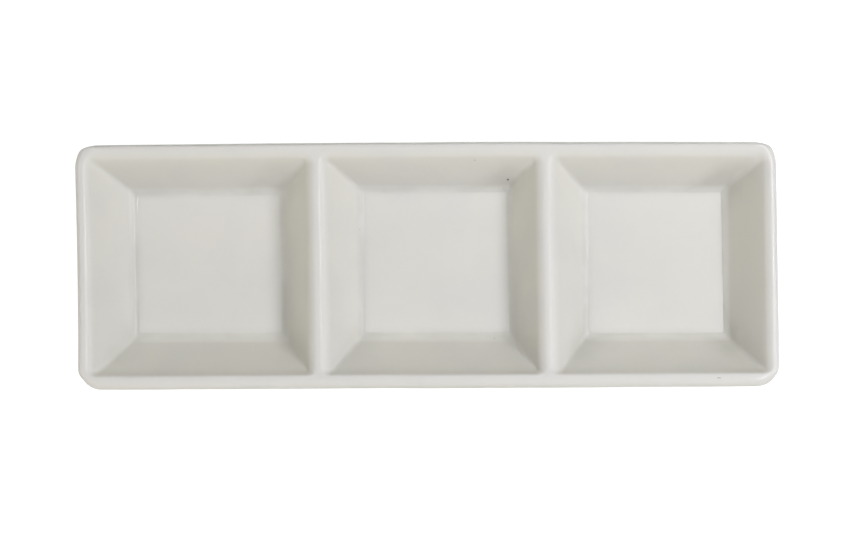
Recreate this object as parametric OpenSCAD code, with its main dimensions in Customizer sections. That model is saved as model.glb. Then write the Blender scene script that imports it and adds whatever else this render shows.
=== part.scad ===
// Three-well relish tray.
// A cast stoneware body has three square wells with sloping walls, a rounded rim, two lower dividers
// with a hollow valley beneath each, and a foot ring under each well. A coat of glaze covers it,
// except on the foot rings, which are wiped bare. Clay and glaze are the same loft at two depths,
// so they meet face to face.

/* [Tray] */
// Length over the rim
tray_length = 364; // [300:1:440]
// Width over the rim
tray_width = 127.7; // [105:0.1:160]
// Radius of the outside corners, seen from above
corner_radius = 11.5; // [9:0.5:18]

/* [Wells] */
// Share of the inside length that each well takes, from left to right
well_shares = [0.3415, 0.3345, 0.324]; // [0.27:0.0005:0.4]
// Depth of the wells below the rim
well_depth = 24.5; // [20:0.5:32]
// Distance in plan from the crest of the rim to the flat of the floor
wall_run = 23.8; // [20:0.1:30]
// Radius of the hollow between a wall and the floor
floor_fillet = 6.5; // [4:0.25:8]
// Radius of the upright corners where two walls meet, at the top
wall_corner = 2.6; // [2:0.1:6]
// Radius of the floor's corners, seen from above
floor_corner = 1.4; // [1:0.1:5]

/* [Rim and dividers] */
// Radius of the rim's outer edge
rim_round_outer = 3.2; // [2.5:0.1:4]
// Radius of the rim's inner shoulder
rim_round_inner = 4.5; // [3.5:0.1:5.5]
// Radius with which that shoulder runs out into the wall
rim_ease = 5.5; // [4.5:0.5:9]
// Half the width of the flat along the crest of the rim and the dividers
crest_flat = 0.4; // [0.2:0.05:1]
// Radius of the shoulders of a divider
divider_round = 5; // [4:0.1:6.5]
// Radius with which those shoulders run out into the walls
divider_ease = 10; // [6.5:0.5:16]
// Slope at which a shoulder starts to run out
shoulder_turn = 25; // [15:1:30]
// How far the dividers lie below the rim
divider_drop = 1; // [0.5:0.1:2]
// Thickness of a divider from its crest down to the valley beneath it
divider_thickness = 7; // [5.5:0.1:9]
// Radius at the top of the valley beneath a divider
valley_round = 3; // [2:0.1:4]

/* [Base and foot rings] */
// Thickness of the floor
floor_thickness = 5.5; // [4:0.1:7]
// Radius of the outside corners of each bowl, seen from below
bowl_corner = 10; // [7:0.5:14]
// Radius of the corners of the flat under each bowl
base_corner = 7; // [5:0.5:10]
// Height of the foot rings
foot_height = 2; // [1.6:0.1:4]
// Distance in plan from the edge of the flat base to the foot ring
foot_setback = 1.5; // [1:0.1:3]
// Width of the bare tread of a foot ring on the table
foot_width = 3; // [2:0.1:5]
// How much each side of a foot ring spreads from the table up to the base
foot_draft = 0.5; // [0.3:0.05:1]
// Bevel along the bottom edges of a foot ring
foot_bevel = 0.3; // [0.2:0.05:0.5]
// Radius of the outside corners of a foot ring
foot_corner = 6; // [4:0.5:9]

/* [Glaze] */
// Thickness of the glaze
glaze_thickness = 0.4; // [0.3:0.05:0.6]
// Height of the bare clay above the table, up to the edge of the glaze
bare_height = 0.8; // [0.6:0.05:1.2]

/* [Hidden] */
clay_colour = [0.80, 0.74, 0.66];
glaze_colour = [0.86, 0.86, 0.83];

// Steps of the loft
corner_steps = 6;
shoulder_steps = 2;
run_out_steps = 2;
hollow_steps = 4;
valley_steps = 3;
heel_steps = 3;
rim_steps = 7;
foot_inner_corner_share = 0.4;
half_turn = 180;
quarter_turn = 90;
corner_count = 4;

// Heights above the table
tray_height = foot_height + floor_thickness + well_depth;
floor_level = foot_height + floor_thickness;
divider_level = tray_height - divider_drop;

// Wells in plan, bounded by the crest of the rim and of the dividers
rim_reach = crest_flat + rim_round_outer;
inside_length = tray_length - 2 * rim_reach;
inside_half_width = tray_width / 2 - rim_reach;
crest_corner = corner_radius - rim_reach;
well_count = len(well_shares);
last_well = well_count - 1;

function sum_first(values, count) = count <= 0 ? 0 : values[count - 1] + sum_first(values, count - 1);
share_total = sum_first(well_shares, well_count);
function crest_x(line) = inside_length * (sum_first(well_shares, line) / share_total - 1 / 2);

// Arcs of the wall's section. Places in it are [distance in from the crest, height above the table].
heel_round = floor_fillet + floor_thickness;
edge_centre = [-crest_flat, tray_height - rim_round_outer];
shoulder_centre = [crest_flat, tray_height - rim_round_inner];
divider_centre = [crest_flat, divider_level - divider_round];
hollow_centre = [wall_run, floor_level + floor_fillet];
valley_centre = [0, divider_level - divider_thickness - valley_round];

function over(centre, radius, angle) = centre + radius * [sin(angle), cos(angle)];
function under(centre, radius, angle) = centre - radius * [sin(angle), cos(angle)];
rim_run_out = over(shoulder_centre, rim_round_inner - rim_ease, shoulder_turn);
divider_run_out = over(divider_centre, divider_round - divider_ease, shoulder_turn);

function fall(from, to) = atan2(from[1] - to[1], to[0] - from[0]);
function crossed_slope(from, to, reach) = fall(from, to) + asin(reach / norm(to - from));
inner_slope = crossed_slope(rim_run_out, hollow_centre, rim_ease + floor_fillet);
divider_slope = crossed_slope(divider_run_out, hollow_centre, divider_ease + floor_fillet);
valley_slope = crossed_slope(valley_centre, hollow_centre, valley_round + heel_round);
outer_slope = crossed_slope(edge_centre, hollow_centre, heel_round - rim_round_outer);
edge_turn = half_turn - outer_slope;

function mix(a, b, share) = a + (b - a) * share;
function ease(share) = share * share * (3 - 2 * share);

// The outside of the long walls at a distance in from the crest
function outer_wall(skin, inset) =
    let (tangent = under(edge_centre, rim_round_outer - skin, outer_slope))
    tangent[1] - (inset - tangent[0]) * tan(outer_slope);

// A station of the loft is one rounded rectangle round a well:
// [its place in the rim's section, its place in a divider's section, its corner radius].
// Skin is the depth below the glazed surface: 0 is the glaze, glaze_thickness is the clay.
function shoulder_station(skin, slope, rim, divider) = [
    rim,
    divider,
    mix(crest_corner - crest_flat, wall_corner, sin(slope) / sin(inner_slope)) + skin * sin(slope)
];

// A shoulder turns on its own arc up to shoulder_turn, and from there on the wider one
function shoulder_stations(skin) = concat(
    [
        for (step = [0:shoulder_steps])
            let (slope = shoulder_turn * step / shoulder_steps)
            shoulder_station(
                skin,
                slope,
                over(shoulder_centre, rim_round_inner - skin, slope),
                over(divider_centre, divider_round - skin, slope)
            )
    ],
    [
        for (step = [1:run_out_steps])
            let (share = step / run_out_steps, slope = mix(shoulder_turn, inner_slope, share))
            shoulder_station(
                skin,
                slope,
                over(rim_run_out, rim_ease - skin, slope),
                over(divider_run_out, divider_ease - skin, mix(shoulder_turn, divider_slope, share))
            )
    ]
);

function hollow_stations(skin) = [
    for (step = [0:hollow_steps])
        let (share = 1 - step / hollow_steps, angle = inner_slope * share)
        [
            under(hollow_centre, floor_fillet + skin, angle),
            under(hollow_centre, floor_fillet + skin, divider_slope * share),
            mix(floor_corner, (floor_corner + wall_corner) / 2, share) + skin * sin(angle)
        ]
];

function valley_stations(skin) = [
    for (step = [1:valley_steps])
        let (share = step / valley_steps, arch = over(valley_centre, valley_round + skin, valley_slope * share))
        [
            [arch[0], outer_wall(skin, arch[0])],
            arch,
            mix(crest_corner, bowl_corner, share) - skin * sin(outer_slope)
        ]
];

function heel_stations(skin) = [
    for (step = [0:heel_steps])
        let (share = 1 - step / heel_steps, angle = outer_slope * share)
        [
            under(hollow_centre, heel_round - skin, angle),
            under(hollow_centre, heel_round - skin, valley_slope * share),
            mix(base_corner, bowl_corner, share) - skin * sin(angle)
        ]
];

// Sides of a foot ring at a height, in from the crest
foot_outside = wall_run + foot_setback;
foot_inside = foot_outside + foot_width + 2 * (foot_draft + foot_bevel + glaze_thickness);
function foot_side(skin, height) = foot_outside + skin + foot_draft * (1 - height / foot_height);
function foot_back(skin, height) = foot_inside - skin - foot_draft * (1 - height / foot_height);
function same_station(inset, height, radius) = [[inset, height], [inset, height], radius];

inner_foot_corner = foot_corner * foot_inner_corner_share;

function foot_front_stations(skin) = [
    for (height = [foot_height + skin, bare_height])
        same_station(foot_side(skin, min(height, foot_height)), height, foot_corner - skin)
];

function foot_tread_stations(skin) = [
    same_station(foot_side(skin, foot_bevel), foot_bevel, foot_corner - skin),
    same_station(foot_side(skin, 0) + foot_bevel, 0, foot_corner - skin - foot_bevel),
    same_station(foot_back(skin, 0) - foot_bevel, 0, inner_foot_corner + skin + foot_bevel),
    same_station(foot_back(skin, foot_bevel), foot_bevel, inner_foot_corner + skin)
];

function foot_back_stations(skin) = [
    for (height = [bare_height, foot_height + skin])
        same_station(foot_back(skin, min(height, foot_height)), height, inner_foot_corner + skin)
];

// Corners run anticlockwise from the right-hand back one. A corner at the tray's own corner is round on
// the crest line, and one where a divider meets the rim is square there.
corner_points = corner_steps + 1;
half_corner = corner_steps / 2;
ring_points = corner_count * corner_points;

function is_end(well, corner) = corner == 0 || corner == 3 ? well == last_well : well == 0;
function side_is_divider(well, side) =
    side == 0 ? (well < last_well ? 1 : 0) : side == 2 ? (well > 0 ? 1 : 0) : 0;
function corner_of(point) = floor(point / corner_points);
function turn_of(point) = quarter_turn * (corner_of(point) + (point % corner_points) / corner_steps);
function direction(angle) = [cos(angle), sin(angle)];

// How much of a divider's section a point has, from 0 on the rim to 1 along a divider
function divider_share(well, point) =
    let (corner = corner_of(point))
    mix(
        side_is_divider(well, corner),
        side_is_divider(well, (corner + 1) % corner_count),
        ease((point % corner_points) / corner_steps)
    );

// The same along the crest line, which climbs to the rim where a divider ends
function crest_share(well, point) =
    let (turn = turn_of(point), across = abs(sin(turn)), along = abs(cos(turn)))
    is_end(well, corner_of(point)) || across >= along ? 0 : ease(1 - across / along);

function corner_signs(corner) = [corner == 0 || corner == 3 ? 1 : -1, corner < 2 ? 1 : -1];
function well_corner(well, corner) =
    [crest_x(corner_signs(corner)[0] > 0 ? well + 1 : well), corner_signs(corner)[1] * inside_half_width];

function crest_reach(well, point) =
    let (toward = direction(turn_of(point)))
    is_end(well, corner_of(point)) ? 1 : 1 / max(abs(toward[0]), abs(toward[1]));

function crest_plan(well, point) =
    let (corner = corner_of(point))
    well_corner(well, corner) - crest_corner * corner_signs(corner)
        + crest_corner * crest_reach(well, point) * direction(turn_of(point));

function crest_normal(well, point) =
    is_end(well, corner_of(point)) ? direction(turn_of(point)) : [0, corner_signs(corner_of(point))[1]];

// The crest line round a well, at heights given for the rim and for a divider
function crest_ring(well, rim_level, low_level) = [
    for (point = [0:ring_points - 1])
        concat(crest_plan(well, point), mix(rim_level, low_level, crest_share(well, point)))
];

function station_ring(well, station) = [
    for (point = [0:ring_points - 1])
        let (
            corner = corner_of(point),
            signs = corner_signs(corner),
            side = signs[0] > 0 ? 0 : 2,
            inset = station[side_is_divider(well, side)][0],
            centre = well_corner(well, corner) - [
                for (way = [0, 1]) signs[way] * ((way == 0 ? inset : station[0][0]) + station[2])
            ]
        )
        concat(
            centre + station[2] * direction(turn_of(point)),
            mix(station[0][1], station[1][1], divider_share(well, point))
        )
];

function top_rings(well, skin) = concat(
    [crest_ring(well, tray_height - skin, divider_level - skin)],
    [for (station = concat(shoulder_stations(skin), hollow_stations(skin))) station_ring(well, station)]
);

function under_rings(well, skin, stations) = concat(
    [crest_ring(well, outer_wall(skin, 0), valley_centre[1] + valley_round + skin)],
    [
        for (station = concat(valley_stations(skin), heel_stations(skin), foot_front_stations(skin), stations))
            station_ring(well, station)
    ]
);

// The crest line round the whole tray, as [well, point] pairs, anticlockwise from the right-hand end
back_line = [
    for (well = [last_well:-1:0])
        for (point = [
            (well == last_well ? -corner_points : half_corner + 1) :
            (well == 0 ? 3 * corner_points + half_corner : corner_points + half_corner)
        ])
            [well, (point + ring_points) % ring_points]
];
front_line = [
    for (well = [1:last_well])
        for (point = [
            (2 * corner_points + half_corner + 1) :
            (well == last_well ? 3 * corner_points - 1 : 3 * corner_points + half_corner)
        ])
            [well, point]
];
crest_line = concat(back_line, front_line);
line_points = len(crest_line);

function edge_ring(place) = [
    for (at = crest_line)
        concat(crest_plan(at[0], at[1]) - place[0] * crest_normal(at[0], at[1]), place[1])
];

function edge_rings(skin) = [
    for (step = [0:rim_steps])
        let (angle = edge_turn * step / rim_steps, out = over(edge_centre, rim_round_outer - skin, -angle))
        edge_ring(out)
];

// Numbering of a skin's points: the rings of each well from the top down, then the rim's outer edge
function flat(lists) = [for (list = lists) each list];
top_ring_count = shoulder_steps + run_out_steps + hollow_steps + 3;
function rings_per_well(under_count) = top_ring_count + under_count;
under_ring_count = valley_steps + heel_steps + 4;

function numbered(well, ring, point, under_count) =
    (well * rings_per_well(under_count) + ring) * ring_points + point;

// Two wells share the points of the crest line between them
function shared(well, ring, point, under_count) =
    let (
        first = corner_points + half_corner,
        last = 2 * corner_points + half_corner,
        is_crest = ring == 0 || ring == top_ring_count,
        facing = (2 * corner_steps + 1 - point + ring_points) % ring_points
    )
    well > 0 && is_crest && point >= first && point <= last
        ? numbered(well - 1, ring, facing, under_count)
        : numbered(well, ring, point, under_count);

function skin_points(skin, treads) = flat(concat(
    [
        for (well = [0:last_well])
            flat(concat(top_rings(well, skin), under_rings(well, skin, treads)))
    ],
    edge_rings(skin)
));

// Faces between two rings of points. Turned is true for a skin that is seen from inside.
function band(outer, inner, turned) = [
    for (at = [0:len(outer) - 1])
        let (
            next = (at + 1) % len(outer),
            a = outer[at],
            b = outer[next],
            c = inner[next],
            d = inner[at]
        )
        each (turned ? [[a, b, c], [a, c, d]] : [[a, c, b], [a, d, c]])
];

function bands(rings, turned) = [
    for (at = [0:len(rings) - 2]) each band(rings[at], rings[at + 1], turned)
];

function fan(ring, turned) = [
    for (at = [1:len(ring) - 2])
        turned ? [ring[0], ring[at], ring[at + 1]] : [ring[0], ring[at + 1], ring[at]]
];

function shift(faces, start) = [for (face = faces) [for (point = face) point + start]];

function ring_numbers(well, first, last, under_count) = [
    for (ring = [first:last])
        [for (point = [0:ring_points - 1]) shared(well, ring, point, under_count)]
];

function edge_numbers(under_count) =
    let (start = well_count * rings_per_well(under_count) * ring_points)
    concat(
        [[for (at = crest_line) shared(at[0], 0, at[1], under_count)]],
        [for (ring = [0:rim_steps]) [for (point = [0:line_points - 1]) start + ring * line_points + point]],
        [[for (at = crest_line) shared(at[0], top_ring_count, at[1], under_count)]]
    );

// Faces of a skin from the floors of the wells over the rim and down to the last ring under each well
function skin_faces(under_count, turned) = concat(
    bands(edge_numbers(under_count), !turned),
    [
        for (well = [0:last_well])
            let (
                top = ring_numbers(well, 0, top_ring_count - 1, under_count),
                under = ring_numbers(well, top_ring_count, rings_per_well(under_count) - 1, under_count)
            )
            each concat(bands(top, turned), fan(top[top_ring_count - 1], turned), bands(under, !turned))
    ]
);

// Clay casting: wells, rim, dividers, valleys and foot rings
module ceramic_body() {
    skin = glaze_thickness;
    tread = concat(foot_tread_stations(skin), foot_back_stations(skin));
    under_count = under_ring_count + len(tread);
    last_ring = rings_per_well(under_count) - 1;
    caps = [
        for (well = [0:last_well])
            each fan(ring_numbers(well, last_ring, last_ring, under_count)[0], true)
    ];
    color(clay_colour)
        polyhedron(points = skin_points(skin, tread), faces = concat(skin_faces(under_count, false), caps));
}

// Glaze over everything but the foot rings and the recesses inside them
module glaze_coat() {
    outside = skin_points(0, []);
    start = len(outside);
    last_ring = rings_per_well(under_ring_count) - 1;
    lips = [
        for (well = [0:last_well])
            let (
                lip = ring_numbers(well, last_ring, last_ring, under_ring_count)[0],
                clay_lip = [for (point = lip) point + start]
            )
            each band(lip, clay_lip, true)
    ];
    faces = concat(
        skin_faces(under_ring_count, false),
        shift(skin_faces(under_ring_count, true), start),
        lips
    );
    color(glaze_colour)
        polyhedron(points = concat(outside, skin_points(glaze_thickness, [])), faces = faces);
}

// Glaze on the base inside one foot ring
module recess_glaze(well) {
    outside = [for (station = foot_back_stations(0)) station_ring(well, station)];
    clay = [for (station = foot_back_stations(glaze_thickness)) station_ring(well, station)];
    rings = [outside[1], outside[0], clay[0], clay[1]];
    numbers = [
        for (ring = [0:len(rings) - 1])
            [for (point = [0:ring_points - 1]) ring * ring_points + point]
    ];
    color(glaze_colour)
        polyhedron(
            points = flat(rings),
            faces = concat(bands(numbers, false), fan(numbers[0], true), fan(numbers[3], false))
        );
}

ceramic_body();
glaze_coat();
recess_glaze(0);  // recess_glaze_left
recess_glaze(1);  // recess_glaze_middle
recess_glaze(2);  // recess_glaze_right
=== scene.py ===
"""Relish tray: a glazed stoneware tray with three square wells, on a white table under soft light.

The clay and the glaze are one loft at two depths. Rounded rings run from the crest of the rim down
to the floor of each well, and from the crest round the outside down to the foot rings.
"""

import math

import bpy
import numpy as np
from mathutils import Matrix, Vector, noise


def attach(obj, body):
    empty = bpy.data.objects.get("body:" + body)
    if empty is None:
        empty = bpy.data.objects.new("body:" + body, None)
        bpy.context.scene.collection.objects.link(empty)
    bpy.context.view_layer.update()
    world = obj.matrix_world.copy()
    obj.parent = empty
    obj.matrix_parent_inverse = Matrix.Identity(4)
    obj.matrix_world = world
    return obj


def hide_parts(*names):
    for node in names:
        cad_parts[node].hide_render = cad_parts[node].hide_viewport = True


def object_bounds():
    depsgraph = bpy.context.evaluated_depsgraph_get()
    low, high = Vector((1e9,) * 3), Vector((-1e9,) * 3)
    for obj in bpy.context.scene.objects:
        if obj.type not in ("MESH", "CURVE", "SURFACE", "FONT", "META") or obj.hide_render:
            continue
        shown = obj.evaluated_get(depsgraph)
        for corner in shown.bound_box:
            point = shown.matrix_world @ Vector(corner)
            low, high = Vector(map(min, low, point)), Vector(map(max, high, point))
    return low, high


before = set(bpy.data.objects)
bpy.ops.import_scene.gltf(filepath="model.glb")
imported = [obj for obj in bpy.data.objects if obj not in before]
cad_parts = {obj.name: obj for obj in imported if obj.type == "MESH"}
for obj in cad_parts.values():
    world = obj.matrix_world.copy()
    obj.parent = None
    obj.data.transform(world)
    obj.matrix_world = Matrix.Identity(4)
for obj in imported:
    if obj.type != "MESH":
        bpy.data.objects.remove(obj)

bl_info = {
    "name": "Relish tray",
    "version": (1, 0, 0),
    "blender": (4, 5, 0),
    "location": "3D View > Sidebar > Relish tray",
    "description": "Builds the glaze, the clay and the stage of a three-well relish tray",
    "category": "Add Mesh",
}

CAD_LOW, CAD_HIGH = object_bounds()
WELL_NAMES = ("left", "middle", "right")
LAST_WELL = len(WELL_NAMES) - 1
BODY = "root"
CORNERS = 4
RIGHT_SIDE, BACK_SIDE, LEFT_SIDE, FRONT_SIDE = range(CORNERS)
SIDE_NORMALS = np.array([(1.0, 0.0), (0.0, 1.0), (-1.0, 0.0), (0.0, -1.0)])
CORNER_SIGNS = ((1, 1), (-1, 1), (-1, -1), (1, -1))
WELD_DECIMALS = 7
SHARP = math.radians(50.0)


def length(name, description, default, low=0.0, high=1.0):
    """A length in metres."""
    return bpy.props.FloatProperty(
        name=name, description=description, default=default, min=low, max=high, unit="LENGTH", precision=5
    )


def share(name, description, default, low=0.0, high=1.0):
    """A plain number."""
    return bpy.props.FloatProperty(name=name, description=description, default=default, min=low, max=high)


def colour(name, description, default):
    """A linear colour."""
    return bpy.props.FloatVectorProperty(
        name=name, description=description, default=default, size=3, min=0.0, max=1.0, subtype="COLOR"
    )


def angle(name, description, degrees):
    """An angle, given in degrees."""
    return bpy.props.FloatProperty(
        name=name, description=description, default=math.radians(degrees), subtype="ANGLE"
    )


def sides(name, description, default):
    """Lengths in metres at the four sides of a well."""
    return bpy.props.FloatVectorProperty(
        name=name, description=f"{description}, at the right, back, left and front",
        default=default, size=CORNERS, min=-0.004, max=0.004, unit="LENGTH", precision=5,
    )


def steps(name, description, default):
    """A number of steps in the loft."""
    return bpy.props.IntProperty(name=name, description=description, default=default, min=2, max=64)


class TrayShape(bpy.types.PropertyGroup):
    """Sizes of the tray."""

    well_shares: bpy.props.FloatVectorProperty(
        name="Wells", description="Share of the inside length that each well takes",
        default=(0.3415, 0.3345, 0.324), size=3, min=0.2, max=0.5,
    )
    tray_length: length("Length", "Length over the rim", CAD_HIGH.x - CAD_LOW.x)
    tray_width: length("Width", "Width over the rim", CAD_HIGH.y - CAD_LOW.y)
    tray_height: length("Height", "Height of the rim above the table", CAD_HIGH.z - CAD_LOW.z)
    corner_radius: length("Corner", "Radius of the outside corners", 0.0115)
    wall_run: length("Wall run", "Distance in plan from the crest to the flat of the floor", 0.0238)
    floor_fillet: length("Floor fillet", "Radius of the hollow between wall and floor", 0.0065)
    wall_corner: length("Wall corner", "Radius where two walls meet, at the top", 0.0026)
    floor_corner: length("Floor corner", "Radius of the floor's corners", 0.0014)
    rim_round_outer: length("Outer rim", "Radius of the rim's outer edge", 0.0032)
    rim_round_inner: length("Inner rim", "Radius of the rim's inner shoulder", 0.0045)
    rim_ease: length("Inner rim ease", "Radius with which that shoulder runs out into the wall", 0.0055)
    crest_flat: length("Crest flat", "Half the width of the flat along the crest", 0.0004)
    divider_round: length("Divider", "Radius of a divider's shoulders", 0.005)
    divider_ease: length("Divider ease", "Radius with which those shoulders run out into the walls", 0.010)
    shoulder_turn: angle("Shoulder turn", "Slope at which a shoulder starts to run out", 25.0)
    divider_drop: length("Divider drop", "How far the dividers lie below the rim", 0.001)
    divider_thickness: length("Divider wall", "Thickness of a divider over the valley under it", 0.007)
    valley_round: length("Valley", "Radius at the top of the valley under a divider", 0.003)
    floor_thickness: length("Floor", "Thickness of the floor", 0.0055)
    bowl_corner: length("Bowl corner", "Radius of each bowl's corners, seen from below", 0.010)
    base_corner: length("Base corner", "Radius of the corners of the flat under each bowl", 0.007)
    foot_height: length("Foot", "Height of the foot rings", 0.002)
    foot_setback: length("Foot setback", "Distance from the edge of the base to the foot ring", 0.0015)
    foot_width: length("Foot tread", "Width of a foot ring on the table", 0.003)
    foot_draft: length("Foot draft", "How much each side of a foot ring spreads", 0.0005)
    foot_bevel: length("Foot bevel", "Bevel along the bottom edges of a foot ring", 0.0003)
    foot_corner: length("Foot corner", "Radius of the outside corners of a foot ring", 0.006)
    foot_inner_share: share("Foot inside", "Inside corner radius as a share of the outside one", 0.4)
    glaze_thickness: length("Glaze", "Thickness of the glaze", 0.0004)
    bare_height: length("Bare foot", "Height of the bare clay above the table", 0.0008)


class TrayFineness(bpy.types.PropertyGroup):
    """How finely the surfaces are divided."""

    corner: steps("Corner", "Steps round a corner", 12)
    side: steps("Side", "Steps along a side of a well", 40)
    crest: steps("Crest", "Steps over each arc of a shoulder", 8)
    wall: steps("Wall", "Steps down a wall", 12)
    hollow: steps("Hollow", "Steps round the hollow at the floor", 18)
    floor: steps("Floor", "Steps over the pad's edge, and again to the floor's middle", 7)
    outer_edge: steps("Outer edge", "Steps round the outside of the rim", 14)
    under: steps("Underside", "Steps along each stretch of the underside", 6)
    hidden: steps("Hidden face", "Steps along each stretch where the glaze meets the clay", 4)


class HandMadeForm(bpy.types.PropertyGroup):
    """How far the fired tray departs from its drawing."""

    skew: length("Skew", "How far the back side leans to the left of the front side", 0.0013)
    back_bow: length("Back bow", "How far the middle of the back side swells outward", 0.0008)
    front_bow: length("Front bow", "How far the middle of the front side swells outward", 0.0002)
    left_pinch: length("Left pinch", "How far the middle of the left end is drawn in", 0.0005)
    left_lean: length("Left lean", "How far the rim of the left end leans outward", 0.0003)
    right_lean: length("Right lean", "How far the rim of the right end leans outward", 0.0011)
    lean_back: length("Lean back", "How far the rim leans backward along both sides", 0.002)
    slow_wave: length("Slow wave", "Height of the slow waves over the whole tray", 0.00022)
    slow_span: length("Slow wave span", "Distance between the slow waves", 0.060)
    quick_wave: length("Quick wave", "Height of the small waves in the glaze", 0.00007)
    quick_span: length("Quick wave span", "Distance between the small waves", 0.017)
    margin: length("Margin", "Room left between the fired tray and the drawing's box", 0.00015)
    pad_height: length("Pad", "How far the flat of a floor stands above the hollow's foot", 0.00012)
    pad_edge: length("Pad edge", "Width of the pad's rounded edge", 0.0007)
    tucks: sides("Tucks", "How far the rim's inner shoulder is drawn to the crest", (0.0008, 0.0, 0.0, 0.0))
    creases: sides("Creases", "How much the floor cuts off the hollow", (0.0009, 0.0004, 0.0, 0.0005))
    left_well: sides("Left well", "Added to the wall's run", (-0.0006, -0.0015, -0.0012, 0.0013))
    middle_well: sides("Middle well", "Added to the wall's run", (-0.0018, -0.0025, -0.0026, 0.0012))
    right_well: sides("Right well", "Added to the wall's run", (0.0003, -0.0018, -0.0026, 0.0006))


class GlazeLook(bpy.types.PropertyGroup):
    """Colours and finish of the glaze."""

    base: colour("Glaze", "Colour of the glaze at its usual depth", (0.735, 0.725, 0.66))
    # Darker colour: low in the hollows, and painted shade in the wells' corners.
    darkened: colour("Darkened", "Colour where the glaze lies deep", (0.62, 0.615, 0.55))
    # Lighter colour: painted highlight along the crests and round the rim's outer edge.
    lighter: colour("Highlight", "Colour where the glaze runs thin over an edge", (0.78, 0.77, 0.735))
    mottle: colour("Mottle", "Colour of the faint clouds", (0.70, 0.695, 0.65))
    speck: colour("Speck", "Colour of the iron specks", (0.10, 0.075, 0.055))
    roughness: share("Roughness", "Roughness of the gloss", 0.06)


class ClayLook(bpy.types.PropertyGroup):
    """Colours and finish of the bare clay."""

    base: colour("Clay", "Colour of the fired clay", (0.60, 0.53, 0.43))
    grain: colour("Grain", "Colour of the darker grains", (0.40, 0.33, 0.25))
    roughness: share("Roughness", "Roughness of the clay", 0.75)


class StageLook(bpy.types.PropertyGroup):
    """Camera, lamps and table."""

    camera_height: length("Camera height", "Height of the camera above the rim", 0.832, 0.1, 5.0)
    camera_right: length("Camera right", "How far the camera stands right of the middle", 0.061, -1.0, 1.0)
    camera_back: length("Camera back", "How far the camera stands behind the middle", 0.013, -1.0, 1.0)
    view_width: length("View width", "Width of the view at the rim", 0.4409, 0.1, 5.0)
    view_right: length("View right", "Middle of the view, right of the tray's middle", 0.0005, -1.0, 1.0)
    view_back: length("View back", "Middle of the view, behind the tray's middle", -0.0014, -1.0, 1.0)
    roll: angle("Roll", "Turn of the camera", -0.294)
    world_level: share("World", "Level of the even light", 0.01, 0.0, 5.0)
    top_watts: share("Top", "Power of the wide lamp overhead", 4.9, 0.0, 500.0)
    key_watts: share("Key", "Power of the long lamp above on the right", 11.3, 0.0, 500.0)
    right_front_watts: share("Right front", "Power of the wide lamp in front on the right", 1.2, 0.0, 500.0)
    right_back_watts: share("Right back", "Power of the wide lamp behind on the right", 1.2, 0.0, 500.0)
    left_watts: share("Left", "Power of the wide lamp above on the left", 2.7, 0.0, 500.0)
    left_front_watts: share("Left front", "Power of the low lamp in front on the left", 4.7, 0.0, 500.0)
    back_left_watts: share("Back left", "Power of the wide lamp behind on the left", 0.6, 0.0, 500.0)
    front_watts: share("Front", "Power of the low lamp in front on the right", 1.1, 0.0, 500.0)
    low_watts: share("Low", "Power of the lowest lamp in front", 1.2, 0.0, 500.0)
    near_strip_watts: share("Near strip", "Power of the long strip nearly overhead", 19.0, 0.0, 500.0)
    far_strip_watts: share("Far strip", "Power of the long strip on the right", 6.5, 0.0, 500.0)
    cool: colour("Cool light", "Colour of the lamps above and on the right", (0.90, 0.90, 1.0))
    soft: colour("Soft light", "Colour of the lamps on the left", (1.0, 0.96, 0.86))
    warm: colour("Warm light", "Colour of the lamps that fill the shade", (1.0, 0.99, 0.50))
    table: colour("Table", "Colour of the table", (0.35, 0.35, 0.35))
    table_seen: colour("Shaded table", "Part of the table's white that shadows take", (0.3, 0.3, 0.3))
    table_glow: share("Table white", "Part of the table's white that shadows leave", 0.88, 0.0, 1.0)


def ease(value):
    """0 to 1 with a soft start and end."""
    return value * value * (3.0 - 2.0 * value)


def mix(start, end, amount):
    """A value part of the way from start to end."""
    return start + (end - start) * amount


def over(centre, radius, angle):
    """The point of a circle at an angle from its top, towards the well."""
    return centre + radius * Vector((math.sin(angle), math.cos(angle)))


def under(centre, radius, angle):
    """The point of a circle at an angle from its bottom, towards the rim."""
    return centre - radius * Vector((math.sin(angle), math.cos(angle)))


def crossed_slope(start, end, reach):
    """Slope of the line that touches two circles on opposite sides."""
    run = end - start
    return math.atan2(-run.y, run.x) + math.asin(reach / run.length)


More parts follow.
